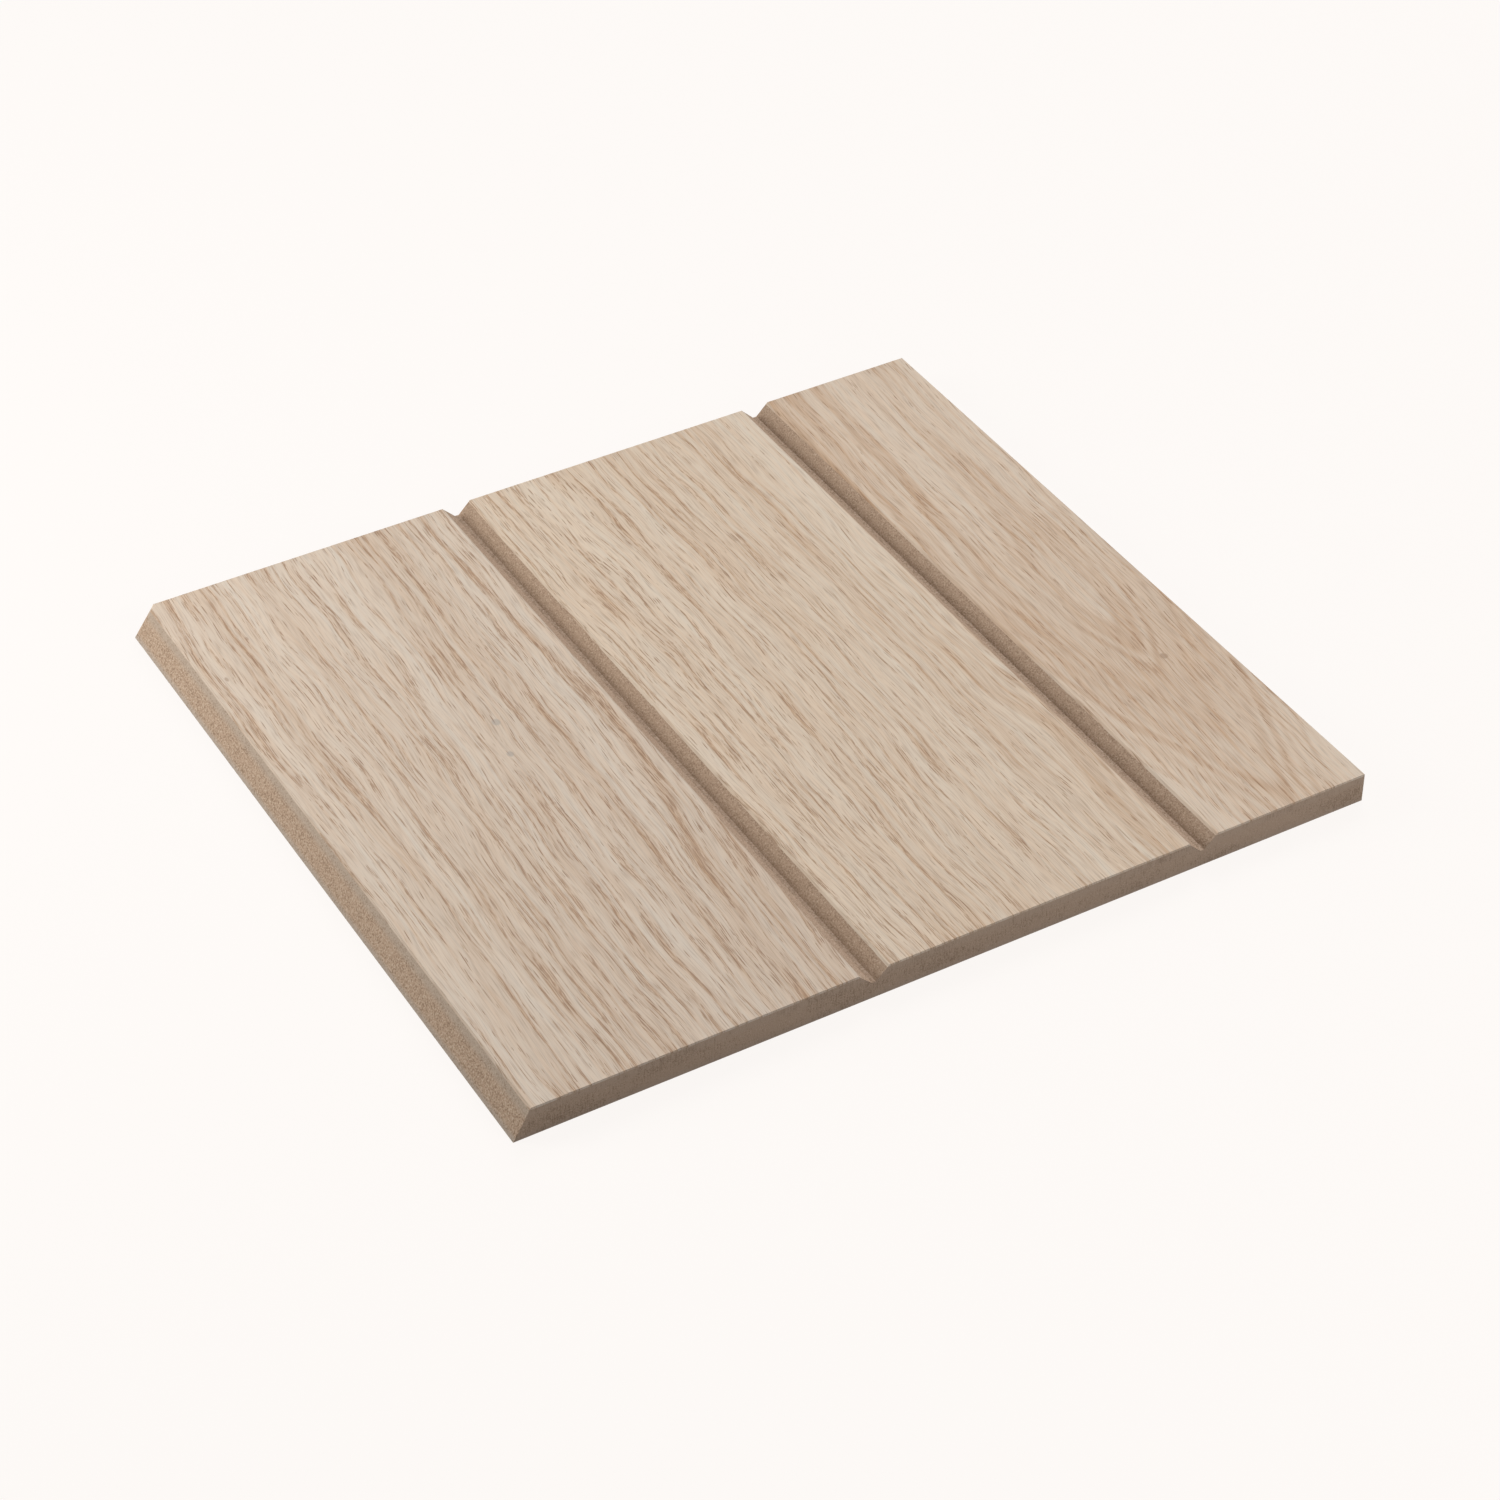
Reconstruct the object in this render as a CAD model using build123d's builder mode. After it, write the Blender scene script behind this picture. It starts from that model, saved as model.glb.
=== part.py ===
"""V-groove wall panel: a fibreboard board faced with oak veneer, with v-grooves and one bevelled edge.

Sizes are in millimetres. X runs across the board, from the bevelled edge to the square one. Y runs along
the grooves, and Z up from the back to the face. The origin is the middle of the back.
"""

import os
from math import radians, tan

from build123d import *

# The board, which lies on its back
panel_width = 253.5  # from the foot of the bevel to the square edge
panel_length = 232.0  # along the grooves
core_thickness = 8.4  # medium-density fibreboard
veneer_thickness = 0.6  # oak, glued on before the grooves are cut

# The bevel along the left edge, through the whole thickness
bevel_angle = 30.0  # from upright, leaning in from its foot to the face

# The rubbed corner where the bevel meets the far end, most at the face and least at the back
worn_off_end = 1.6  # off the far end's top edge
worn_off_lip = 2.2  # off the bevel's lip
worn_off_back = 0.3  # off the far end's bottom edge

# The v-grooves, cut through the veneer into the core
groove_count = 2
groove_pitch = 100.0
first_groove = 101.5  # from the foot of the bevel to the middle of the first groove
groove_depth = 3.9  # from the face
groove_angle = 90.0  # between the two flanks
groove_floor_width = 1.2  # the flat that the cutter's blunt point leaves

# The light sanding that takes the sharpness off the veneer's edges
arris_radius = 0.2

# Places worked out from these
left_edge = -panel_width / 2
right_edge = panel_width / 2
face_height = core_thickness + veneer_thickness
groove_floor_height = face_height - groove_depth
groove_centres = [left_edge + first_groove + number * groove_pitch for number in range(groove_count)]
far_end = Plane.XZ.offset(-panel_length / 2)  # the section is drawn here and extruded to the near end
glue_line = Plane.XY.offset(core_thickness)


def bevel_side(height):
    """Where the bevel stands, across the board, at this height above the back."""
    return left_edge + height * tan(radians(bevel_angle))


def rubbed_plane():
    """The slanting plane that the rubbed corner is worn down to, which looks into the board."""
    far_side = panel_length / 2
    lip = bevel_side(face_height)
    on_end = Vector(lip + worn_off_end, far_side, face_height)
    on_lip = Vector(lip, far_side - worn_off_lip, face_height)
    on_back = Vector(left_edge + worn_off_back, far_side, 0)
    across = on_lip - on_end
    return Plane(origin=on_end, x_dir=across, z_dir=across.cross(on_back - on_end))


def groove_half_width(height):
    """Half of a groove's width at this height above the back."""
    return groove_floor_width / 2 + (height - groove_floor_height) * tan(radians(groove_angle / 2))


def groove_section(centre):
    """The corners of a groove's section, from its floor up to the face."""
    floor = groove_half_width(groove_floor_height)
    lip = groove_half_width(face_height)
    return [
        (centre - floor, groove_floor_height),
        (centre + floor, groove_floor_height),
        (centre + lip, face_height),
        (centre - lip, face_height),
    ]


# The board as it is machined: core and veneer glued together, then bevelled and grooved as one
with BuildPart() as glued_board:
    with BuildSketch(far_end):
        Polygon(
            (bevel_side(0), 0),
            (right_edge, 0),
            (right_edge, face_height),
            (bevel_side(face_height), face_height),
            align=None,
        )
        for groove_centre in groove_centres:
            Polygon(*groove_section(groove_centre), align=None, mode=Mode.SUBTRACT)
    extrude(amount=panel_length)
    split(bisect_by=rubbed_plane(), keep=Keep.TOP)

# The core is what lies below the glue line
with BuildPart() as fibreboard_core:
    add(glued_board.part)
    split(bisect_by=glue_line, keep=Keep.BOTTOM)

# The veneer is what lies above it: one sheet, which the grooves have cut into strips
with BuildPart() as veneer_sheet:
    add(glued_board.part)
    split(bisect_by=glue_line, keep=Keep.TOP)

os.makedirs("parts", exist_ok=True)
fibreboard_core.part.label = "fibreboard_core"
export_step(fibreboard_core.part, "parts/fibreboard_core.step")

# Each strip of the veneer is a piece of its own, with the edges of its face sanded
for number, strip in enumerate(veneer_sheet.solids().sort_by(Axis.X), start=1):
    with BuildPart() as face_veneer:
        add(strip)
        oak_face = faces().sort_by(Axis.Z)[-1]
        fillet(oak_face.edges(), radius=arris_radius)
    face_veneer.part.label = f"face_veneer_{number}"
    export_step(face_veneer.part, f"parts/{face_veneer.part.label}.step")
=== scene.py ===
"""Models the oak face of the v-groove wall panel, finishes its oak and fibreboard, and sets the stage.

Lengths in the settings are in metres. Patterns are worked out in millimetres on the board, where Across
runs over the grooves and Along runs with them.
"""

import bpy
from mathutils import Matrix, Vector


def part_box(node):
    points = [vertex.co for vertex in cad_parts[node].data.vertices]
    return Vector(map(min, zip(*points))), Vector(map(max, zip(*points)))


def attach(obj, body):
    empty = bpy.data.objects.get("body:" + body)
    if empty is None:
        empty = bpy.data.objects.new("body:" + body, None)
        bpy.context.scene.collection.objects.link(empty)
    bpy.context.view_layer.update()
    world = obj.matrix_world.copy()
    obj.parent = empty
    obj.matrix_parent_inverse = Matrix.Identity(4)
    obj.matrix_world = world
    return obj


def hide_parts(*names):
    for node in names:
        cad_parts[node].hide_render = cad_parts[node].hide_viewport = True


bl_info = {
    "name": "V-Groove Wall Panel",
    "version": (1, 0, 0),
    "blender": (4, 5, 0),
    "location": "3D View > Sidebar > Wall Panel",
    "description": "Models and finishes a grooved fibreboard panel faced with oak veneer",
    "category": "Object",
}

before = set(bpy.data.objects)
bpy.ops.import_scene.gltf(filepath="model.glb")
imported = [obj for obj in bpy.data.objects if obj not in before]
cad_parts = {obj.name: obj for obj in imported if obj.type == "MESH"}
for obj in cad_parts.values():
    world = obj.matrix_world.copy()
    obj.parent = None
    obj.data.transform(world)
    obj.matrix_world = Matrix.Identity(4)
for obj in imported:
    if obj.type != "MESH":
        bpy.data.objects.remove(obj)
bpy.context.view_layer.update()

from math import cos, hypot, radians, sin, tan
from typing import NamedTuple

import bmesh
import bpy
from bpy.props import FloatProperty, FloatVectorProperty, PointerProperty
from mathutils import Matrix, Vector

BODY = "root"
MM = 0.001


class StripPlan(NamedTuple):
    """One strip of the face veneer: where it lies, and how its oak grew."""

    piece: str
    node: str
    left_lean: float  # how far the left side leans in for each unit of height
    right_lean: float
    lean: float  # how far the grain runs sideways for each unit of length
    fan: float  # how much more it leans for each millimetre across
    centre: float  # across the board, where the lean is as given and the rings' arches stand
    arch: float  # how far the rings spread towards the far end, in millimetres
    ring_width: float  # between one growth ring and the next, in millimetres
    banding: tuple  # how strongly the growth rings show at its left and right sides
    pores: tuple  # how thickly the pores stand at its left and right sides
    tint: tuple  # this strip's own colour, beside the others'
    seed: float
    swings: tuple  # where the rings swing aside: middle, reach and shift, in millimetres
    trails: tuple  # the strongest streaks: place on the rings, width and strength
    stains: tuple  # grey stains: middle, width and length
    knots: tuple  # brown pin knots: middle, width and length


# How far Blender's noise spreads about its middle, over two axes and over three
FLAT_NOISE_SPREAD = 0.159
SOLID_NOISE_SPREAD = 0.133

# How far the slopes of the section lean for each unit of height
BEVEL_LEAN = tan(radians(30.0))
GROOVE_LEAN = tan(radians(45.0))

STRIPS = (
    StripPlan(
        "oak_strip_left", "face_veneer_1", BEVEL_LEAN, GROOVE_LEAN,
        lean=0.02, fan=0.0004, centre=-80.0, arch=0.0, ring_width=2.7,
        banding=(0.68, 0.78), pores=(0.64, 0.64), tint=(0.99, 0.99, 0.99), seed=3.0,
        swings=((-30.0, 5.0, 14.0, 60.0, 9.0),),
        trails=(
            (-93.5, 0.7, 0.5), (-81.0, 0.7, 0.6), (-75.4, 0.5, 0.3),
            (-66.0, 0.6, 0.4), (-55.4, 1.0, 0.6), (-41.3, 1.3, 0.9),
        ),
        stains=((-61.3, 20.0, 2.3, 2.9), (-64.2, 6.0, 1.9, 2.4)),
        knots=((-116.3, 74.0, 1.0, 2.2), (-104.0, 88.0, 0.9, 1.8)),
    ),
    StripPlan(
        "oak_strip_middle", "face_veneer_2", GROOVE_LEAN, GROOVE_LEAN,
        lean=0.0, fan=0.0, centre=20.0, arch=0.0, ring_width=1.7,
        banding=(0.35, 0.85), pores=(1.0, 0.08), tint=(1.045, 1.035, 1.005), seed=11.0,
        swings=((-10.0, 100.0, 12.0, 60.0, -8.0), (70.0, -60.0, 14.0, 35.0, 7.0)),
        trails=((-8.0, 0.9, 0.5), (22.0, 0.7, 0.4), (54.0, 1.2, 0.5)),
        stains=(),
        knots=(),
    ),
    StripPlan(
        "oak_strip_right", "face_veneer_3", GROOVE_LEAN, 0.0,
        lean=0.05, fan=0.0, centre=109.0, arch=30.0, ring_width=2.9,
        banding=(1.4, 1.35), pores=(0.18, 0.22), tint=(1.015, 0.985, 0.95), seed=23.0,
        swings=(),
        trails=((-17.5, 2.0, 0.33), (0.5, 1.8, 0.3), (-10.5, 1.6, 0.2)),
        stains=(),
        knots=((110.3, -47.0, 2.4, 2.6),),
    ),
)


class Softbox(NamedTuple):
    """A square lamp: where it hangs round the panel's middle, how strong it is, and its tint."""

    name: str
    azimuth: float  # degrees from +Y towards +X
    elevation: float  # degrees above the floor
    distance: float  # metres
    power: float  # watts
    colour: tuple


SOFTBOXES = (
    Softbox("far_right_softbox", 45.0, 45.0, 1.6, 15.1, (0.985, 1.0, 1.02)),
    Softbox("far_left_softbox", -60.0, 25.0, 0.7, 3.6, (1.0, 1.0, 0.975)),
    Softbox("near_right_softbox", 150.0, 35.0, 0.9, 3.45, (0.97, 1.0, 1.04)),
)


class Pattern(NamedTuple):
    """How wide and how long the features of one pattern in the oak are, in millimetres."""

    width: float
    length: float


# How the fibres bend
WANDER = Pattern(40.0, 130.0)
WIGGLE = Pattern(8.0, 24.0)
RAGGED = Pattern(9.0, 34.0)  # only in the growth rings' arches
ARCH_TIP = 3.0  # how blunt the arches are, in millimetres

# The streaks, from broad to fine
BROAD = Pattern(7.0, 260.0)
BAND_LENGTH = 150.0  # each strip has its own width of band
TRAIL_BREAKS = Pattern(6.0, 38.0)
AMBER = Pattern(1.5, 34.0)
STREAK = Pattern(1.05, 34.0)
LINE = Pattern(0.5, 14.0)
FIBRE = Pattern(0.3, 7.0)


class PoreKind(NamedTuple):
    """One kind of open pore: a dash in a cell of its own, with sizes in millimetres."""

    width: float
    length: float
    cell_width: float
    cell_length: float
    share: float  # how readily a cell holds a pore
    offset: float  # shifts its cells against those of the other kinds
    depth: float


PORE_KINDS = (
    PoreKind(width=0.3, length=9.5, cell_width=0.62, cell_length=10.0, share=0.65, offset=0.0, depth=1.0),
    PoreKind(width=0.28, length=5.5, cell_width=0.46, cell_length=5.8, share=0.75, offset=7.3, depth=1.0),
    PoreKind(width=0.24, length=3.4, cell_width=0.4, cell_length=3.7, share=0.45, offset=15.9, depth=0.85),
)

# How much each part of the figure browns the wood, and how much it darkens it
BROWNING = {"Rings": 0.75, "Streak": 0.36, "Pores": 0.38}
DARKENING = {"Rings": 0.14, "Pores": 0.68, "Line": 0.22, "Fibre": 0.11}
PLAIN_BROWN = 0.09  # how brown the wood is without any of them

# Sizes of the finer patterns, in millimetres: the sanded face along X and Y, the others along X, Y and Z
SILK_SIZE = (0.3, 4.0)
CUT_EDGE_SIZE = (0.2, 3.0, 0.15)
END_GRAIN_SIZE = (0.12, 0.2, 0.12)
SPECK_SIZE = (0.5, 0.55, 0.45)
CLUMP_SIZE = (2.5, 3.5, 1.6)
FINE_SIZE = (0.24, 0.26, 0.24)

# On the fibreboard's ends, along X and Z
SAW_SIZE = (0.4, 3.0)
PATCH_SIZE = (24.0, 7.0)

SMOOTH_BELOW = radians(16.0)  # faces that meet at less than this are shaded as one surface
FLOOR_SIZE = 8.0  # metres
SENSOR_WIDTH = 36.0  # millimetres
NEAREST, FARTHEST = 0.01, 50.0  # what the camera sees, in metres


class OakSettings(bpy.types.PropertyGroup):
    """The oak veneer's colours and relief."""

    pale: FloatVectorProperty(
        name="Pale wood", description="The dense late wood", subtype="COLOR", default=(0.662, 0.566, 0.472)
    )
    amber: FloatVectorProperty(
        name="Amber wood", description="The late wood where it is yellower", subtype="COLOR",
        default=(0.688, 0.559, 0.445),
    )
    warm: FloatVectorProperty(
        name="Warm wood", description="The browner bands of early wood", subtype="COLOR",
        default=(0.518, 0.342, 0.220),
    )
    pore: FloatVectorProperty(
        name="Pores", description="The open pores", subtype="COLOR", default=(0.296, 0.188, 0.126)
    )
    cut_edge: FloatVectorProperty(
        name="Cut edge", description="The veneer's freshly cut long edges", subtype="COLOR",
        default=(0.505, 0.390, 0.295),
    )
    end_grain: FloatVectorProperty(
        name="End grain", description="The veneer's ends", subtype="COLOR", default=(0.420, 0.305, 0.218)
    )
    arris: FloatProperty(
        name="Arris", description="Width of the sanded arris", default=0.12 * MM, min=0.0, unit="LENGTH"
    )
    relief: FloatProperty(
        name="Relief", description="Depth of the deepest pores", default=0.07 * MM, min=0.0, unit="LENGTH"
    )
    stain: FloatVectorProperty(
        name="Stains", description="The small grey stains", subtype="COLOR", default=(0.350, 0.320, 0.290)
    )
    step_across: FloatProperty(
        name="Step across", description="Mesh spacing across the grain", default=0.14 * MM, min=0.1 * MM,
        unit="LENGTH",
    )
    step_along: FloatProperty(
        name="Step along", description="Mesh spacing along the grain", default=2.2 * MM, min=0.5 * MM,
        unit="LENGTH",
    )


class FibreboardSettings(bpy.types.PropertyGroup):
    """The fibreboard core's colours."""

    belly: FloatVectorProperty(
        name="Belly", description="The loose brown middle of the board", subtype="COLOR",
        default=(0.473, 0.335, 0.241),
    )
    skin: FloatVectorProperty(
        name="Skin", description="The dense greyer layers near both faces", subtype="COLOR",
        default=(0.463, 0.364, 0.286),
    )
    burnished: FloatVectorProperty(
        name="Burnished", description="The grooves, rubbed by the cutter", subtype="COLOR",
        default=(0.448, 0.320, 0.232),
    )
    foot: FloatVectorProperty(
        name="Foot", description="The greyest layer, at the back", subtype="COLOR",
        default=(0.458, 0.376, 0.312),
    )
    fibre: FloatVectorProperty(
        name="Fibres", description="The dark fibres and specks", subtype="COLOR",
        default=(0.230, 0.150, 0.095),
    )
    chip: FloatVectorProperty(
        name="Chips", description="The pale chips of wood", subtype="COLOR", default=(0.640, 0.520, 0.400)
    )
    skin_depth: FloatProperty(
        name="Skin depth", description="How deep the dense layers reach", default=2.0 * MM, unit="LENGTH"
    )


class StudioSettings(bpy.types.PropertyGroup):
    """The camera, the even light and the floor."""

    azimuth: FloatProperty(
        name="Azimuth", description="Camera's turn round the panel, 0 looks along the grooves",
        default=radians(-29.78), unit="ROTATION",
    )
    elevation: FloatProperty(
        name="Elevation", description="Camera's height above the horizon", default=radians(39.09),
        unit="ROTATION",
    )
    roll: FloatProperty(name="Roll", description="Camera's tilt", default=radians(-0.41), unit="ROTATION")
    distance: FloatProperty(
        name="Distance", description="From the camera to the point it looks at", default=1030.6 * MM,
        unit="LENGTH",
    )
    aim: FloatVectorProperty(
        name="Aim", description="The point the camera looks at", subtype="TRANSLATION", unit="LENGTH",
        default=(-2.8 * MM, -15.3 * MM, 0.0),
    )
    lens: FloatProperty(name="Lens", description="Focal length in millimetres", default=91.45, min=1.0)
    floor: FloatVectorProperty(
        name="Floor", description="The floor and the backdrop", subtype="COLOR",
        default=(0.991, 0.956, 0.930),
    )
    world: FloatProperty(name="World", description="Strength of the even light", default=0.06, min=0.0)


SETTINGS = (
    ("oak", OakSettings),
    ("fibreboard", FibreboardSettings),
    ("studio", StudioSettings),
)


def settings(name):
    """The panel's settings of one kind in this scene."""
    return getattr(bpy.context.scene, f"wall_panel_{name}")


class Signal:
    """A number worked out by nodes, so that a pattern's formula is written as a plain sum."""

    def __init__(self, bench, socket):
        self.bench = bench
        self.socket = socket

    def __add__(self, other):
        return self.bench.maths("ADD", self, other)

    def __sub__(self, other):
        return self.bench.maths("SUBTRACT", self, other)

    def __mul__(self, other):
        return self.bench.maths("MULTIPLY", self, other)

    def __truediv__(self, other):
        return self.bench.maths("DIVIDE", self, other)

    def __rsub__(self, other):
        return self.bench.maths("SUBTRACT", other, self)

    __radd__ = __add__
    __rmul__ = __mul__


class Bench:
    """Adds nodes to one tree and wires them up."""

    def __init__(self, tree):
        self.tree = tree

    def wire(self, socket, value):
        """Links a socket to a signal or an output, or sets its plain value."""
        source = value.socket if isinstance(value, Signal) else value
        if isinstance(source, bpy.types.NodeSocket):
            self.tree.links.new(source, socket)
        else:
            socket.default_value = source

    def node(self, kind, inputs=None, **options):
        """A node with these options, fed by these inputs."""
        made = self.tree.nodes.new(kind)
        for name, value in options.items():
            setattr(made, name, value)
        for name, value in (inputs or {}).items():
            self.wire(made.inputs[name], value)
        return made

    def maths(self, operation, *values):
        """One sum or comparison of plain values and signals."""
        made = self.node("ShaderNodeMath", operation=operation)
        for socket, value in zip(made.inputs, values):
            self.wire(socket, value)
        return Signal(self, made.outputs[0])

    def absolute(self, value):
        return self.maths("ABSOLUTE", value)

    def ramp(self, value, low, high, to_low=0.0, to_high=1.0):
        """A smooth step of a value between two limits."""
        made = self.node(
            "ShaderNodeMapRange",
            {"Value": value, "From Min": low, "From Max": high, "To Min": to_low, "To Max": to_high},
            interpolation_type="SMOOTHSTEP",
        )
        return Signal(self, made.outputs[0])

    def point(self, x, y, z=0.0):
        """A vector from its three parts."""
        return self.node("ShaderNodeCombineXYZ", {"X": x, "Y": y, "Z": z}).outputs[0]

    def split(self, vector):
        """A vector's three parts."""
        made = self.node("ShaderNodeSeparateXYZ", {"Vector": vector})
        return [Signal(self, socket) for socket in made.outputs]

    def noise(self, *place, detail=0):
        """Smooth noise about 0 over two or three axes, with features one unit wide and a spread of 1."""
        flat = len(place) == 2
        made = self.node(
            "ShaderNodeTexNoise",
            {"Vector": self.point(*place), "Scale": 1.0, "Detail": detail},
            noise_dimensions="2D" if flat else "3D",
        )
        plain_spread = FLAT_NOISE_SPREAD if flat else SOLID_NOISE_SPREAD
        layers = [0.5**layer for layer in range(detail + 1)]  # each finer layer is half as strong
        spread = plain_spread * hypot(*layers) / sum(layers)
        return (Signal(self, made.outputs[0]) - 0.5) / spread

    def pattern(self, place, size, detail=0):
        """Noise over two or three axes, with features of this size along each."""
        return self.noise(*(value / step for value, step in zip(place, size)), detail=detail)

    def mix(self, share, first, second):
        """A colour between two others."""
        made = self.node("ShaderNodeMix", data_type="RGBA")
        colours = [socket for socket in made.inputs if socket.type == "RGBA"]
        self.wire(made.inputs[0], share)
        for socket, value in zip(colours, (first, second)):
            self.wire(socket, value)
        return next(socket for socket in made.outputs if socket.type == "RGBA")

    def group(self, tree, **inputs):
        """A node group in this tree, fed by these inputs. Underscores stand for spaces in their names."""
        kind = "GeometryNodeGroup" if self.tree.bl_idname == "GeometryNodeTree" else "ShaderNodeGroup"
        made = self.tree.nodes.new(kind)
        made.node_tree = tree
        for name, value in inputs.items():
            self.wire(made.inputs[name.replace("_", " ")], value)
        return {socket.name: Signal(self, socket) for socket in made.outputs}


FLOAT = "NodeSocketFloat"
VECTOR = "NodeSocketVector"


def start_group(name, kind, inputs, outputs):
    """A node group with named sockets: its tree, its bench, its input signals and its output node."""
    tree = bpy.data.node_groups.new(name, kind)
    for label, socket_kind in inputs.items():
        tree.interface.new_socket(name=label, in_out="INPUT", socket_type=socket_kind)
    for label, socket_kind in outputs.items():
        tree.interface.new_socket(name=label, in_out="OUTPUT", socket_type=socket_kind)
    bench = Bench(tree)
    sockets = bench.node("NodeGroupInput").outputs
    given = {socket.name: Signal(bench, socket) for socket in sockets if socket.name}
    return tree, bench, given, bench.node("NodeGroupOutput")


def pore_group(kind):
    """Short dark dashes along the grain, each one a lens shape in a cell of its own."""
    names = ("Across", "Along", "Cell Width", "Cell Length", "Pore Width", "Pore Length", "Chance", "Seed")
    tree, bench, given, out = start_group("Oak pores", kind, dict.fromkeys(names, FLOAT), {"Pores": FLOAT})
    across = given["Across"] / given["Cell Width"] + given["Seed"]
    along = given["Along"] / given["Cell Length"] + given["Seed"]
    cells = bench.node(
        "ShaderNodeTexVoronoi",
        {"Vector": bench.point(across, along), "Scale": 1.0, "Randomness": 1.0},
        voronoi_dimensions="2D",
    )
    centre = bench.split(cells.outputs["Position"])
    luck = bench.split(cells.outputs["Color"])
    size = 0.55 + luck[1] * 0.9
    off_across = bench.absolute((across - centre[0]) * given["Cell Width"] / given["Pore Width"]) * 2.0
    off_along = (along - centre[1]) * given["Cell Length"] / (given["Pore Length"] * size) * 2.0
    shape = 1.0 - off_across - off_along * off_along
    lens = bench.ramp(shape, 0.0, 0.55)
    there = bench.maths("LESS_THAN", luck[0], given["Chance"])
    depth = 0.45 + luck[2] * 0.55
    bench.wire(out.inputs["Pores"], lens * there * depth)
    return tree


def swing_group(kind):
    """How far the growth rings swing aside round one place, as they do by a branch."""
    inputs = {"Place": VECTOR, **dict.fromkeys(("X", "Y", "Reach X", "Reach Y", "Shift"), FLOAT)}
    tree, bench, given, out = start_group("Oak swing", kind, inputs, {"Swing": FLOAT})
    x, y, _ = bench.split(given["Place"])
    off_x = (x / MM - given["X"]) / given["Reach X"]
    off_y = (y / MM - given["Y"]) / given["Reach Y"]
    bell = bench.maths("EXPONENT", 0.0 - off_x * off_x - off_y * off_y)
    bench.wire(out.inputs["Swing"], given["Shift"] * bell)
    return tree


def grain_group(kind):
    """Bends the board's own coordinates to run with the fibres, and measures across the growth rings."""
    names = ("Swing", "Lean", "Fan", "Centre", "Arch", "Seed")
    inputs = {"Place": VECTOR, **dict.fromkeys(names, FLOAT)}
    outputs = {"Flow": FLOAT, "Along": FLOAT, "Ring": FLOAT}
    tree, bench, given, out = start_group("Oak grain", kind, inputs, outputs)
    x, y, _ = bench.split(given["Place"])
    across = x / MM
    along = y / MM
    seed = given["Seed"]
    off_centre = across - given["Centre"]
    lean = given["Lean"] + given["Fan"] * off_centre
    wander = bench.noise(across / WANDER.width + seed, along / WANDER.length) * 0.9
    wiggle = bench.noise(across / WIGGLE.width, along / WIGGLE.length + seed) * 0.28
    flow = across - lean * along + wander + wiggle - given["Swing"] * 0.25
    straight = flow - given["Swing"] * 0.75
    off_middle = off_centre - given["Lean"] * along
    half_width = bench.maths("SQRT", off_middle * off_middle + ARCH_TIP**2)
    ragged = bench.noise(across / RAGGED.width + seed, along / RAGGED.length) * 0.6
    arch = half_width + wander + ragged - given["Arch"] * bench.ramp(along, -150.0, 10.0)
    arched = bench.maths("GREATER_THAN", given["Arch"], 0.0)
    bench.wire(out.inputs["Flow"], flow)
    bench.wire(out.inputs["Along"], along)
    bench.wire(out.inputs["Ring"], straight + (arch - straight) * arched)
    return tree


def trail_group(kind):
    """A brown trail that keeps to one growth ring, for the strongest streaks."""
    names = ("Ring", "Place On Ring", "Width", "Strength")
    tree, bench, given, out = start_group("Oak trail", kind, dict.fromkeys(names, FLOAT), {"Trail": FLOAT})
    off = (given["Ring"] - given["Place On Ring"]) / given["Width"]
    bell = bench.maths("EXPONENT", 0.0 - off * off)
    bench.wire(out.inputs["Trail"], bell * given["Strength"])
    return tree


def speck_group(kind):
    """A small oval spot, for a stain or a pin knot."""
    names = ("X", "Y", "Width", "Length")
    inputs = {"Place": VECTOR, **dict.fromkeys(names, FLOAT)}
    tree, bench, given, out = start_group("Oak speck", kind, inputs, {"Speck": FLOAT})
    x, y, _ = bench.split(given["Place"])
    off_x = (x / MM - given["X"]) / given["Width"] * 2.0
    off_y = (y / MM - given["Y"]) / given["Length"] * 2.0
    bench.wire(out.inputs["Speck"], bench.ramp(off_x * off_x + off_y * off_y, 0.4, 1.5, 1.0, 0.0))
    return tree


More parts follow.
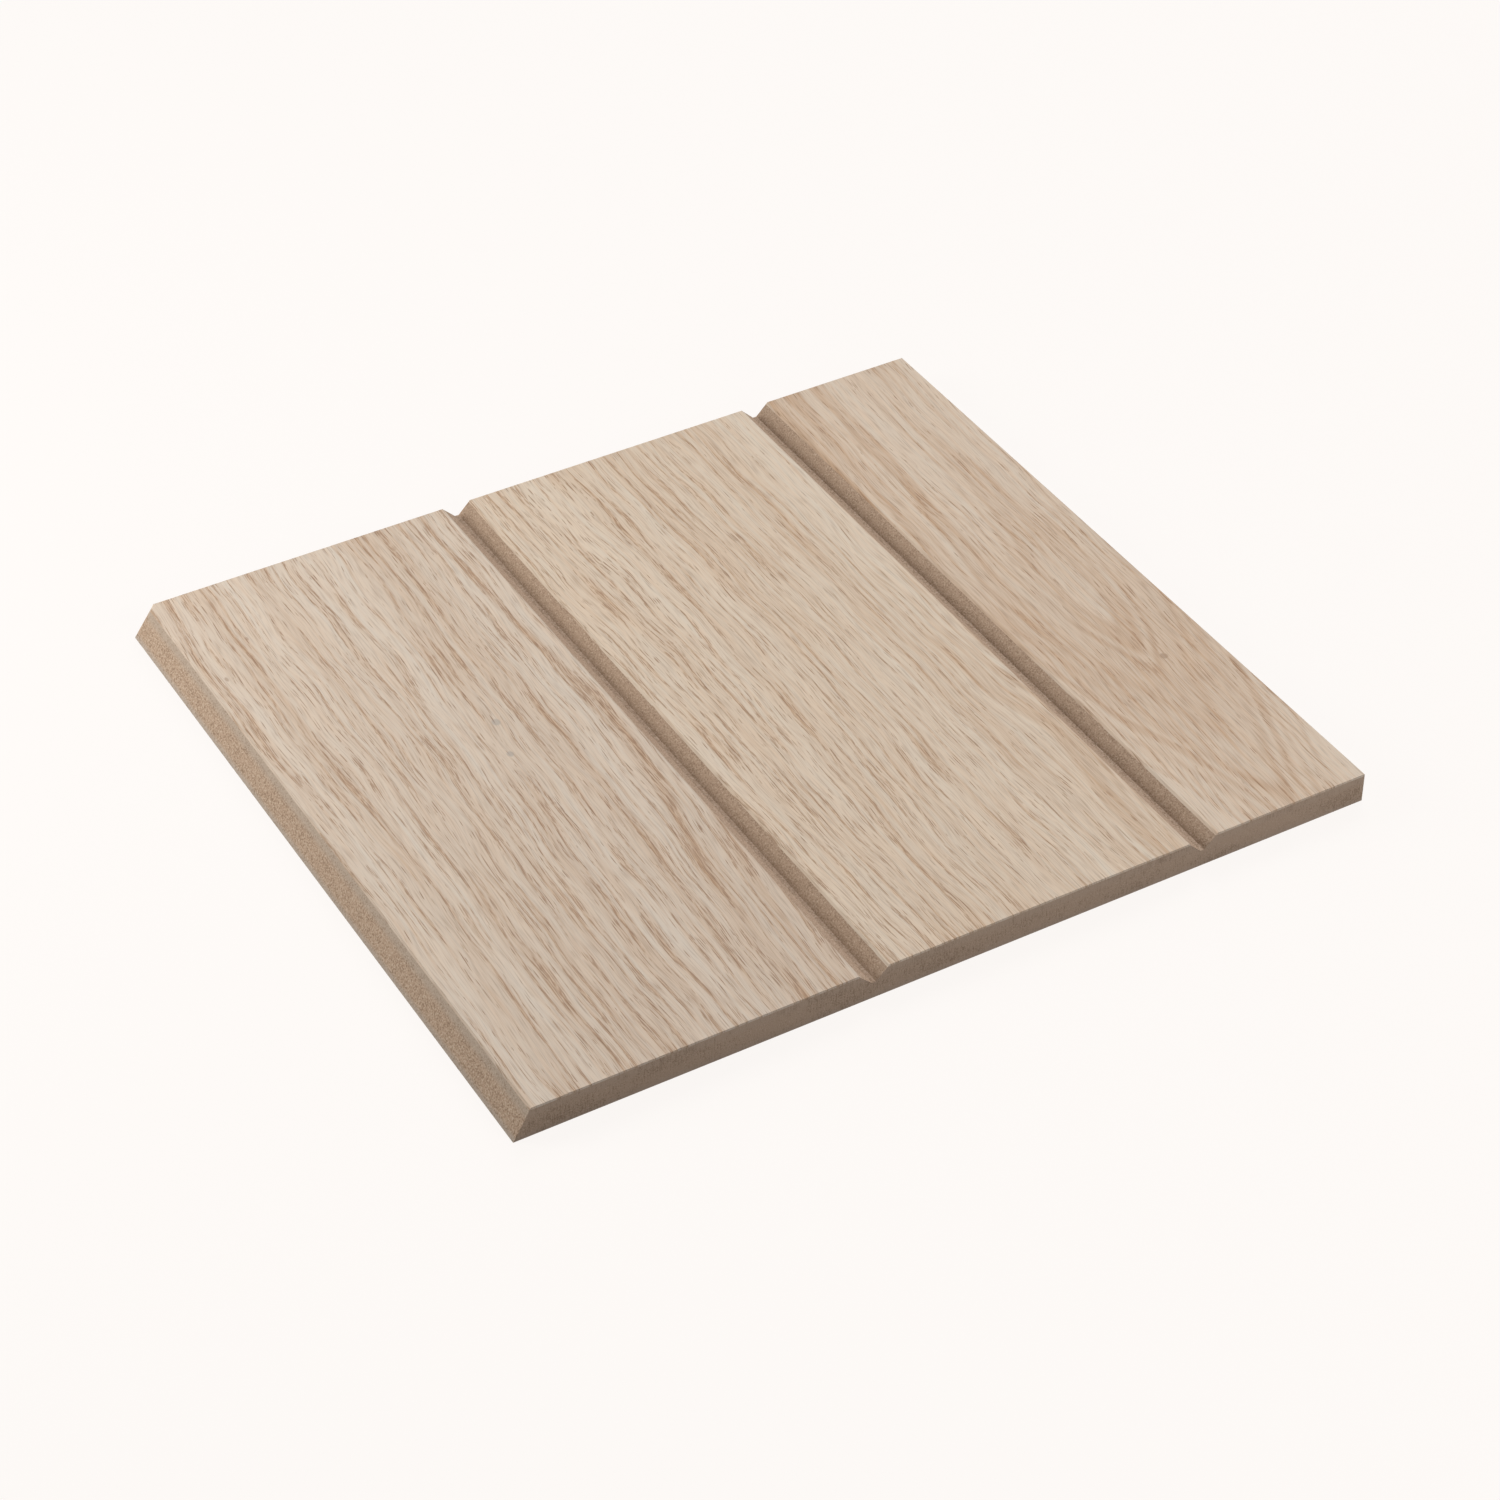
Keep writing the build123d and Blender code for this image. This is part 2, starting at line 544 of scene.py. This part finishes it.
def figure_group(kind, pores):
    """The oak's figure: its streaks from broad to fine, its pores, and its height from 0 down to -1."""
    names = ("Flow", "Along", "Ring", "Ring Width", "Trails", "Pore Share", "Seed")
    labels = ("Broad", "Band", "Streak", "Line", "Fibre", "Amber", "Pores", "Height")
    inputs, outputs = dict.fromkeys(names, FLOAT), dict.fromkeys(labels, FLOAT)
    tree, bench, given, out = start_group("Oak figure", kind, inputs, outputs)
    flow, along, ring, seed = (given[name] for name in ("Flow", "Along", "Ring", "Seed"))
    broken = bench.noise(along / TRAIL_BREAKS.length + seed, ring / TRAIL_BREAKS.width) * 0.3 + 0.8
    trails = given["Trails"] * broken
    band = bench.noise(ring / given["Ring Width"], along / BAND_LENGTH + seed)
    streak = bench.noise(flow / STREAK.width + seed, along / STREAK.length)
    line = bench.noise(flow / LINE.width, along / LINE.length + seed)
    shown = {
        "Broad": bench.noise(ring / BROAD.width + seed, along / BROAD.length),
        "Band": bench.ramp(band, -0.8, 2.4) + trails,
        "Streak": bench.ramp(streak, -0.2, 2.4),
        "Line": bench.ramp(line, -0.4, 2.6),
        "Fibre": bench.noise(flow / FIBRE.width + seed, along / FIBRE.length),
        "Amber": bench.noise(flow / AMBER.width, along / AMBER.length - seed, detail=1),
    }
    crowding = streak * 0.68 + band * 0.38 + trails * 1.3
    crowd = given["Pore Share"] * bench.ramp(crowding, 0.0, 1.7, 0.12, 2.2)
    pore = 0.0
    for sort in PORE_KINDS:
        dashes = bench.group(
            pores,
            Across=flow,
            Along=along,
            Cell_Width=sort.cell_width,
            Cell_Length=sort.cell_length,
            Pore_Width=sort.width,
            Pore_Length=sort.length,
            Chance=crowd * sort.share,
            Seed=seed + sort.offset,
        )
        pore = bench.maths("MAXIMUM", dashes["Pores"] * sort.depth, pore)
    shown["Pores"] = pore
    shown["Height"] = 0.0 - pore - shown["Streak"] * 0.17
    for label, value in shown.items():
        bench.wire(out.inputs[label], value)
    return tree


class OakFigure:
    """The oak's node groups, for shaders or for geometry nodes."""

    def __init__(self, kind):
        self.swing = swing_group(kind)
        self.grain = grain_group(kind)
        self.trail = trail_group(kind)
        self.speck = speck_group(kind)
        self.figure = figure_group(kind, pore_group(kind))

    def grow(self, bench, plan, place):
        """Adds the figure of one strip to a tree."""
        swing = 0.0
        for x, y, reach_x, reach_y, shift in plan.swings:
            made = bench.group(
                self.swing, Place=place, X=x, Y=y, Reach_X=reach_x, Reach_Y=reach_y, Shift=shift
            )
            swing = made["Swing"] + swing
        grain = bench.group(
            self.grain,
            Place=place,
            Swing=swing,
            Lean=plan.lean,
            Fan=plan.fan,
            Centre=plan.centre,
            Arch=plan.arch,
            Seed=plan.seed,
        )
        ring, along = grain["Ring"], grain["Along"]
        trails = 0.0
        for on_ring, width, strength in plan.trails:
            made = bench.group(self.trail, Ring=ring, Place_On_Ring=on_ring, Width=width, Strength=strength)
            trails = made["Trail"] + trails
        low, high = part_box(plan.node)
        across = (bench.split(place)[0] - low.x) / (high.x - low.x)
        pore_share, banding = (across * (right - left) + left for left, right in (plan.pores, plan.banding))
        figure = bench.group(
            self.figure,
            Flow=grain["Flow"],
            Along=along,
            Ring=ring,
            Ring_Width=plan.ring_width,
            Trails=trails,
            Pore_Share=pore_share,
            Seed=plan.seed,
        )
        for label, spots in (("Stains", plan.stains), ("Knots", plan.knots)):
            figure[label] = 0.0
            for x, y, width, length in spots:
                made = bench.group(self.speck, Place=place, X=x, Y=y, Width=width, Length=length)
                figure[label] = made["Speck"] + figure[label]
        figure["Rings"] = (figure["Broad"] * 0.12 + figure["Band"] * 0.45) * banding
        return figure


def start_material(name):
    """A material with nothing but a Principled shader: its bench, its shader and its object coordinates."""
    material = bpy.data.materials.new(name)
    material.use_nodes = True
    material.node_tree.nodes.clear()
    bench = Bench(material.node_tree)
    shader = bench.node("ShaderNodeBsdfPrincipled")
    bench.node("ShaderNodeOutputMaterial", {"Surface": shader.outputs[0]})
    place = bench.node("ShaderNodeTexCoord").outputs["Object"]
    return material, bench, shader, place


def tinted(colour, tint):
    """A colour multiplied by a tint."""
    return [channel * share for channel, share in zip(colour, tint)]


def opaque(colour):
    """A colour with full alpha, as a colour socket wants it."""
    return (*colour, 1.0)


def weigh(grown, shares):
    """Adds up parts of the oak's figure, each by its share."""
    total = 0.0
    for label, share in shares.items():
        total = grown[label] * share + total
    return total


def oak_face_material(plan, oak_figure):
    """The sanded oak face of one strip."""
    oak = settings("oak")
    material, bench, shader, place = start_material(f"{plan.piece}_face")
    grown = oak_figure.grow(bench, plan, place)
    brown = weigh(grown, BROWNING) + PLAIN_BROWN
    dark = bench.maths("MAXIMUM", weigh(grown, DARKENING), grown["Knots"] * 0.5)
    pale, amber, warm, pore = (
        opaque(tinted(colour, plan.tint)) for colour in (oak.pale, oak.amber, oak.warm, oak.pore)
    )
    wood = bench.mix(bench.ramp(grown["Amber"], -2.6, 2.6), pale, amber)
    wood = bench.mix(brown, wood, warm)
    wood = bench.mix(dark, wood, pore)
    bench.wire(shader.inputs["Base Color"], bench.mix(grown["Stains"] * 0.5, wood, opaque(oak.stain)))
    shader.inputs["Roughness"].default_value = 0.8
    shader.inputs["Specular IOR Level"].default_value = 0.05
    x, y, _ = bench.split(place)
    silk = bench.pattern((x, y), [step * MM for step in SILK_SIZE])
    bump = bench.node("ShaderNodeBump", {"Height": silk * 0.006, "Distance": MM})
    bench.wire(shader.inputs["Normal"], bump.outputs[0])
    return material


def plain_wood_material(name, base, dark, size):
    """The veneer's cut edge or end grain: fine lines of two tones, of this size along X, Y and Z."""
    material, bench, shader, place = start_material(name)
    lines = bench.pattern(bench.split(place), [step * MM for step in size], detail=2)
    wood = bench.mix(bench.ramp(lines, -0.8, 2.4), opaque(base), opaque(dark))
    bench.wire(shader.inputs["Base Color"], wood)
    shader.inputs["Roughness"].default_value = 0.75
    bump = bench.node("ShaderNodeBump", {"Height": lines * 0.02, "Distance": MM, "Strength": 0.5})
    bench.wire(shader.inputs["Normal"], bump.outputs[0])
    return material


def core_regions(bench, x, y, z, skin_depth):
    """Masks for the core's layers by the back and by the face, its ends, its bevel and its grooves."""
    low, high = (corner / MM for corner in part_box("fibreboard_core"))
    from_back = bench.ramp(z, 0.1 * skin_depth, skin_depth, 1.0, 0.0)
    from_face = bench.ramp(z, high.z - 1.6 * skin_depth, high.z - 0.5 * skin_depth)
    on_end = bench.ramp(bench.absolute(y), high.y - 0.08, high.y - 0.02)
    bevel_reach = low.x + high.z * BEVEL_LEAN
    on_bevel = bench.ramp(x, bevel_reach + 0.5, bevel_reach + 3.0, 1.0, 0.0) * (1.0 - on_end)
    in_groove = (1.0 - on_bevel) * (1.0 - on_end)
    return from_back, from_face, on_end, on_bevel, in_groove


def fibreboard_material():
    """Raw fibreboard: a loose speckled belly between two denser, greyer skins."""
    board = settings("fibreboard")
    material, bench, shader, place = start_material("raw_fibreboard")
    x, y, z = (value / MM for value in bench.split(place))
    from_back, from_face, on_end, on_bevel, in_groove = core_regions(bench, x, y, z, board.skin_depth / MM)
    skin = bench.maths("MAXIMUM", from_back, from_face)
    loose = (1.0 - skin * (1.0 - in_groove) * 0.55) * (1.0 - in_groove * 0.3 - on_end * 0.6)
    speck = bench.pattern((x, y, z), SPECK_SIZE, detail=1) * loose
    clump = bench.pattern((x, y, z), CLUMP_SIZE)
    fine = bench.pattern((x, y, z), FINE_SIZE)
    sawn = (bench.pattern((x, z), SAW_SIZE) * 0.4 + bench.pattern((x, z), PATCH_SIZE) * 0.45) * on_end
    rough = speck * 1.3 + clump * 0.25 + fine * (0.6 + in_groove * 0.4) + sawn
    dark = bench.ramp(rough, -0.2, 2.6)
    pale = bench.ramp(fine * 0.6 - speck * 1.2, 0.4, 2.6)
    ground = bench.mix(from_face * (on_bevel * 0.8 + 0.2), opaque(board.belly), opaque(board.skin))
    ground = bench.mix(from_back * (1.0 - on_end * 0.7), ground, opaque(board.foot))
    ground = bench.mix(in_groove, ground, opaque(board.burnished))
    speckled = bench.mix(dark * 0.7, ground, opaque(board.fibre))
    bench.wire(shader.inputs["Base Color"], bench.mix(pale * 0.6, speckled, opaque(board.chip)))
    shader.inputs["Roughness"].default_value = 0.9
    shader.inputs["Specular IOR Level"].default_value = 0.1
    height = fine * 0.02 - speck * 0.03
    bump = bench.node("ShaderNodeBump", {"Height": height, "Distance": MM, "Strength": 0.3})
    bench.wire(shader.inputs["Normal"], bump.outputs[0])
    return material


def relief_tree(plan, oak_figure):
    """Geometry nodes that press a strip's pores into its face, and leave its long edges straight."""
    tree = bpy.data.node_groups.new("Grain relief", "GeometryNodeTree")
    tree.interface.new_socket(name="Geometry", in_out="INPUT", socket_type="NodeSocketGeometry")
    tree.interface.new_socket(name="Geometry", in_out="OUTPUT", socket_type="NodeSocketGeometry")
    bench = Bench(tree)
    geometry = bench.node("NodeGroupInput").outputs[0]
    place = bench.node("GeometryNodeInputPosition").outputs[0]
    grown = oak_figure.grow(bench, plan, place)
    low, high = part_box(plan.node)
    across, _, height = bench.split(place)
    # The lips lie inside the strip's box by up to its thickness, and the relief starts a margin further in
    margin = 0.3 * MM
    near_edge = margin + (high.z - low.z) * GROOVE_LEAN
    away = 1.5 * near_edge
    from_left = bench.ramp(across, low.x + near_edge, low.x + away)
    from_right = bench.ramp(across, high.x - away, high.x - near_edge, 1.0, 0.0)
    tolerance = 0.01 * MM
    on_face = bench.maths("GREATER_THAN", height, high.z - tolerance)
    deep = bench.maths("MAXIMUM", grown["Height"], -1.0)
    drop = deep * (from_left * from_right) * on_face * settings("oak").relief
    offset = bench.point(0.0, 0.0, drop)
    moved = bench.node("GeometryNodeSetPosition", {"Geometry": geometry, "Offset": offset})
    bench.node("NodeGroupOutput", {"Geometry": moved.outputs[0]})
    return tree


def select_only(obj):
    """Makes one object the active and only selected one."""
    bpy.ops.object.select_all(action="DESELECT")
    obj.select_set(True)
    bpy.context.view_layer.objects.active = obj


def select_faces(obj, wanted):
    """In edit mode, selects the faces that a test wants."""
    bpy.ops.mesh.select_all(action="DESELECT")
    cage = bmesh.from_edit_mesh(obj.data)
    for face in cage.faces:
        face.select = wanted(face)
    cage.select_flush_mode()
    bmesh.update_edit_mesh(obj.data)


def select_rim(obj):
    """In edit mode, selects the open edges round the mesh."""
    bpy.ops.mesh.select_mode(type="EDGE")
    bpy.ops.mesh.select_all(action="DESELECT")
    cage = bmesh.from_edit_mesh(obj.data)
    for edge in cage.edges:
        edge.select = edge.is_boundary
    cage.select_flush_mode()
    bmesh.update_edit_mesh(obj.data)


class StripModeller:
    """Models one strip of veneer as a maker would: its face, its sanded arris, its sides and its back."""

    def __init__(self, plan):
        self.plan = plan
        self.low, self.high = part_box(plan.node)
        self.thickness = self.high.z - self.low.z

    def outline(self, depth, inset):
        """The strip's outline at a depth below its face: left, right, near and far."""
        rise = self.thickness - depth
        return (
            self.low.x + rise * self.plan.left_lean + inset,
            self.high.x - rise * self.plan.right_lean - inset,
            self.low.y + inset,
            self.high.y - inset,
        )

    def face(self, inset, step_across, step_along):
        """Lays the face as a fine grid."""
        left, right, near, far = self.outline(0.0, inset)
        bpy.ops.object.select_all(action="DESELECT")
        bpy.ops.mesh.primitive_grid_add(
            x_subdivisions=round((right - left) / step_across),
            y_subdivisions=round((far - near) / step_along),
            size=1.0,
            location=((left + right) / 2, (near + far) / 2, self.high.z),
        )
        strip = bpy.context.active_object
        strip.name = strip.data.name = self.plan.piece
        strip.scale = (right - left, far - near, 1.0)
        bpy.ops.object.transform_apply(location=True, rotation=True, scale=True)
        return strip

    def ring(self, strip, before, after):
        """Extrudes the rim from one depth and inset to the next."""
        was_left, was_right, was_near, was_far = self.outline(*before)
        left, right, near, far = self.outline(*after)
        sideways = (left + right - was_left - was_right) / 2
        select_rim(strip)
        bpy.ops.mesh.extrude_region_move(
            TRANSFORM_OT_translate={"value": (sideways, 0.0, before[0] - after[0])}
        )
        bpy.ops.transform.resize(
            value=((right - left) / (was_right - was_left), (far - near) / (was_far - was_near), 1.0),
            center_override=((left + right) / 2, (near + far) / 2, self.high.z - after[0]),
        )


def model_strip(plan, oak_figure, materials):
    """Models one strip of the face veneer and presses its grain into it."""
    oak = settings("oak")
    arris = oak.arris
    maker = StripModeller(plan)
    strip = maker.face(arris, oak.step_across, oak.step_along)
    for material in materials:
        strip.data.materials.append(material)
    bpy.ops.object.mode_set(mode="EDIT")
    # Depth below the face and inset of the outline, from the face over the rounded arris to the back
    rings = ((0.0, arris), (arris * 0.3, arris * 0.25), (arris * 0.9, 0.0), (maker.thickness, 0.0))
    for before, after in zip(rings, rings[1:]):
        maker.ring(strip, before, after)
    select_rim(strip)
    bpy.ops.mesh.edge_face_add()
    finish_strip_faces(strip)
    wear_corner(strip)
    bpy.ops.object.mode_set(mode="OBJECT")
    press_grain(strip, relief_tree(plan, oak_figure))
    bpy.ops.object.shade_smooth_by_angle(angle=SMOOTH_BELOW)
    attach(strip, BODY)
    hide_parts(plan.node)
    return strip


def finish_strip_faces(strip):
    """In edit mode, gives the strip's sides and ends their materials, and turns all faces outwards."""
    upright = 0.75
    for slot, axis in ((1, 0), (2, 1)):
        select_faces(strip, lambda face: abs(face.normal[axis]) > 0.5 and abs(face.normal.z) < upright)
        strip.active_material_index = slot
        bpy.ops.object.material_slot_assign()
    bpy.ops.mesh.select_all(action="SELECT")
    bpy.ops.mesh.normals_make_consistent(inside=False)


def wear_corner(strip):
    """In edit mode, cuts the strip off at the plane of the core's rubbed corner."""
    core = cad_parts["fibreboard_core"]
    # It is the core's only face that looks both to the left and to the far end
    for polygon in core.data.polygons:
        normal = core.matrix_world.to_3x3() @ polygon.normal
        if normal.x < -0.2 and normal.y > 0.2:
            bpy.ops.mesh.select_all(action="SELECT")
            bpy.ops.mesh.bisect(
                plane_co=core.matrix_world @ polygon.center,
                plane_no=normal,
                use_fill=True,
                clear_outer=True,
            )
            break


def press_grain(strip, relief):
    """Moves the face's vertices down into the pores, and keeps the result."""
    select_only(strip)
    modifier = strip.modifiers.new("Grain relief", "NODES")
    modifier.node_group = relief
    bpy.ops.object.modifier_apply(modifier=modifier.name)


class PANEL_OT_oak_face(bpy.types.Operator):
    """Model the three strips of oak veneer with their grain"""

    bl_idname = "wall_panel.oak_face"
    bl_label = "Oak Face"

    def execute(self, context):
        oak = settings("oak")
        shaded = OakFigure("ShaderNodeTree")
        modelled = OakFigure("GeometryNodeTree")
        edge = plain_wood_material("veneer_cut_edge", oak.cut_edge, oak.end_grain, CUT_EDGE_SIZE)
        ends = plain_wood_material("veneer_end_grain", oak.end_grain, oak.pore, END_GRAIN_SIZE)
        for plan in STRIPS:
            model_strip(plan, modelled, (oak_face_material(plan, shaded), edge, ends))
        return {"FINISHED"}


class PANEL_OT_fibreboard(bpy.types.Operator):
    """Finish the fibreboard core"""

    bl_idname = "wall_panel.fibreboard"
    bl_label = "Fibreboard Core"

    def execute(self, context):
        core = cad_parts["fibreboard_core"]
        material = fibreboard_material()
        for slot in core.material_slots:
            slot.material = material
        return {"FINISHED"}


def seen_directly(bench):
    """1 for rays from the camera, straight or by way of a mirror or glass, and 0 for all others."""
    paths = bench.node("ShaderNodeLightPath").outputs
    seen = bench.maths("MAXIMUM", paths["Is Camera Ray"], paths["Is Glossy Ray"])
    return bench.maths("MAXIMUM", seen, paths["Is Transmission Ray"])


def floor_material(colour):
    """A pale floor that keeps a faint shadow, throws little light back, and is clear from below."""
    material = bpy.data.materials.new("studio_floor")
    material.use_nodes = True
    material.node_tree.nodes.clear()
    bench = Bench(material.node_tree)
    seen = seen_directly(bench)
    shader = bench.node("ShaderNodeBsdfPrincipled", {"Roughness": 0.9, "Specular IOR Level": 0.0})
    lit_share = 0.06
    lit = opaque([channel * lit_share for channel in colour])
    glow = opaque([channel * (1.0 - lit_share) for channel in colour])
    bounce = opaque((0.4, 0.4, 0.4))
    black = opaque((0.0, 0.0, 0.0))
    bench.wire(shader.inputs["Base Color"], bench.mix(seen, bounce, lit))
    bench.wire(shader.inputs["Emission Color"], bench.mix(seen, black, glow))
    shader.inputs["Emission Strength"].default_value = 1.0
    clear = bench.node("ShaderNodeBsdfTransparent")
    behind = bench.node("ShaderNodeNewGeometry").outputs["Backfacing"]
    mixed = bench.node("ShaderNodeMixShader", {0: behind, 1: shader.outputs[0], 2: clear.outputs[0]})
    bench.node("ShaderNodeOutputMaterial", {"Surface": mixed.outputs[0]})
    return material


def make_floor(studio):
    """Lays the floor under the panel."""
    bpy.ops.object.select_all(action="DESELECT")
    bpy.ops.mesh.primitive_plane_add(size=FLOOR_SIZE, location=(0.0, 0.0, 0.0))
    floor = bpy.context.active_object
    floor.name = "studio_floor"
    floor.data.materials.append(floor_material(studio.floor))


def make_lamp(softbox):
    """Hangs a square softbox that faces the panel."""
    turn = radians(softbox.azimuth)
    rise = radians(softbox.elevation)
    place = softbox.distance * Vector((sin(turn) * cos(rise), cos(turn) * cos(rise), sin(rise)))
    bpy.ops.object.select_all(action="DESELECT")
    bpy.ops.object.light_add(type="AREA", location=place)
    lamp = bpy.context.active_object
    lamp.name = softbox.name
    lamp.data.shape = "SQUARE"
    lamp.data.size = softbox.distance / 2
    lamp.data.energy = softbox.power
    lamp.data.color = softbox.colour
    lamp.rotation_mode = "QUATERNION"
    lamp.rotation_quaternion = (-place).to_track_quat("-Z", "Y")


def make_world(studio):
    """Even light from everywhere, behind a backdrop that the camera sees in the floor's colour."""
    world = bpy.data.worlds.new("studio")
    bpy.context.scene.world = world
    world.use_nodes = True
    world.node_tree.nodes.clear()
    bench = Bench(world.node_tree)
    level = studio.world
    colour = bench.mix(seen_directly(bench), opaque((level, level, level)), opaque(studio.floor))
    light = bench.node("ShaderNodeBackground", {"Color": colour, "Strength": 1.0})
    bench.node("ShaderNodeOutputWorld", {"Surface": light.outputs[0]})


def make_camera(studio):
    """Stands the camera where the panel is looked down on from its bevelled near corner."""
    azimuth, elevation, roll = studio.azimuth, studio.elevation, studio.roll
    back = Vector((sin(azimuth) * cos(elevation), -cos(azimuth) * cos(elevation), sin(elevation)))
    right = Vector((cos(azimuth), sin(azimuth), 0.0))
    up = back.cross(right)
    across = cos(roll) * right + sin(roll) * up
    upward = cos(roll) * up - sin(roll) * right
    bpy.ops.object.select_all(action="DESELECT")
    bpy.ops.object.camera_add()
    camera = bpy.context.active_object
    camera.name = "studio_camera"
    camera.matrix_world = Matrix.Translation(Vector(studio.aim) + back * studio.distance) @ Matrix(
        (across, upward, back)
    ).transposed().to_4x4()
    camera.data.lens = studio.lens
    camera.data.sensor_width = SENSOR_WIDTH
    camera.data.clip_start = NEAREST
    camera.data.clip_end = FARTHEST
    bpy.context.scene.camera = camera


class PANEL_OT_studio(bpy.types.Operator):
    """Set up the camera, the floor and the soft light"""

    bl_idname = "wall_panel.studio"
    bl_label = "Studio"

    def execute(self, context):
        studio = settings("studio")
        make_camera(studio)
        make_floor(studio)
        make_world(studio)
        for softbox in SOFTBOXES:
            make_lamp(softbox)
        context.scene.view_settings.view_transform = "Standard"
        return {"FINISHED"}


class PANEL_PT_wall_panel(bpy.types.Panel):
    """Builds the wall panel's looks"""

    bl_label = "V-Groove Wall Panel"
    bl_space_type = "VIEW_3D"
    bl_region_type = "UI"
    bl_category = "Wall Panel"

    def draw(self, context):
        for name, kind in SETTINGS:
            box = self.layout.box()
            for key in kind.__annotations__:
                box.prop(settings(name), key)
        for operator in OPERATORS:
            self.layout.operator(operator.bl_idname)


OPERATORS = (PANEL_OT_studio, PANEL_OT_fibreboard, PANEL_OT_oak_face)


def register():
    """Registers the settings, the operators and the panel."""
    for name, kind in SETTINGS:
        bpy.utils.register_class(kind)
        setattr(bpy.types.Scene, f"wall_panel_{name}", PointerProperty(type=kind))
    for kind in (*OPERATORS, PANEL_PT_wall_panel):
        bpy.utils.register_class(kind)


def unregister():
    """Takes them away again."""
    for kind in (PANEL_PT_wall_panel, *reversed(OPERATORS)):
        bpy.utils.unregister_class(kind)
    for name, kind in reversed(SETTINGS):
        delattr(bpy.types.Scene, f"wall_panel_{name}")
        bpy.utils.unregister_class(kind)


def main():
    register()
    bpy.ops.wall_panel.studio()
    bpy.ops.wall_panel.fibreboard()
    bpy.ops.wall_panel.oak_face()


if __name__ == "__main__":
    main()
